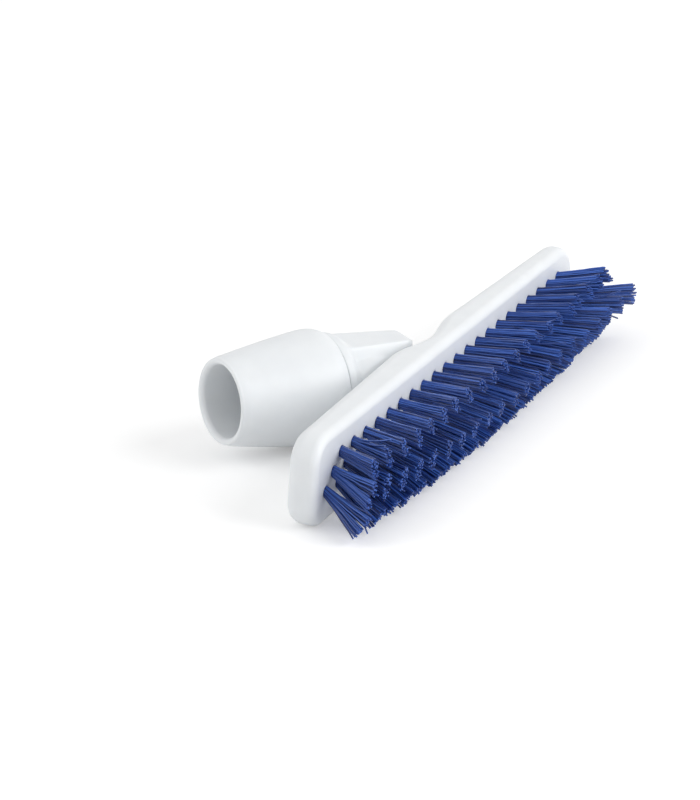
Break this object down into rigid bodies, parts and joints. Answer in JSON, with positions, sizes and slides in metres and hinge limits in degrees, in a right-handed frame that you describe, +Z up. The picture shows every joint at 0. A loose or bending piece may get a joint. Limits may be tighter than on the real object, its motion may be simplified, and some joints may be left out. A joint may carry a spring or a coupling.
{
  "type": "floor scrub brush",
  "caption": "Narrow floor scrub brush: a long white head with fanned blue tufts and a swinging neck with a threaded pole socket.",
  "frame": {"origin": "on the floor under the middle of the brush's bounding box, with the brush lying on its side", "axes": "+X along the head, away from the end that the neck is swung towards; +Y from the filaments' side to the neck's side; +Z up from the floor"},
  "size_m": [0.2376, 0.0944, 0.0407],
  "materials": {
    "head_plastic": "moulded, satin",
    "neck_plastic": "moulded, satin",
    "barrel_plastic": "moulded, satin",
    "filament": "drawn filament",
    "steel": "bright"
  },
  "bodies": {
    "head": {"head_block": "head_plastic", "pivot_pin": "steel", "tuft_column_01": "filament", "tuft_column_02": "filament", "tuft_column_03": "filament", "tuft_column_04": "filament", "tuft_column_05": "filament", "tuft_column_06": "filament", "tuft_column_07": "filament", "tuft_column_08": "filament", "tuft_column_09": "filament", "tuft_column_10": "filament", "tuft_column_11": "filament", "tuft_column_12": "filament", "tuft_column_13": "filament", "tuft_column_14": "filament", "tuft_column_15": "filament", "tuft_column_16": "filament", "tuft_column_17": "filament", "tuft_column_18": "filament", "tuft_column_19": "filament", "tuft_column_20": "filament", "tuft_column_21": "filament"},
    "neck": {"neck": "neck_plastic", "socket_barrel": "barrel_plastic", "retaining_washer": "steel", "retaining_screw": "steel"}
  },
  "joints": [
    {"name": "neck_pivot", "type": "hinge", "parent": "head", "child": "neck", "pos_m": [0.00111, -0.009, 0.01851], "axis": [0, -0.075, 0.9972], "range_deg": [-110.9, 0]}
  ]
}
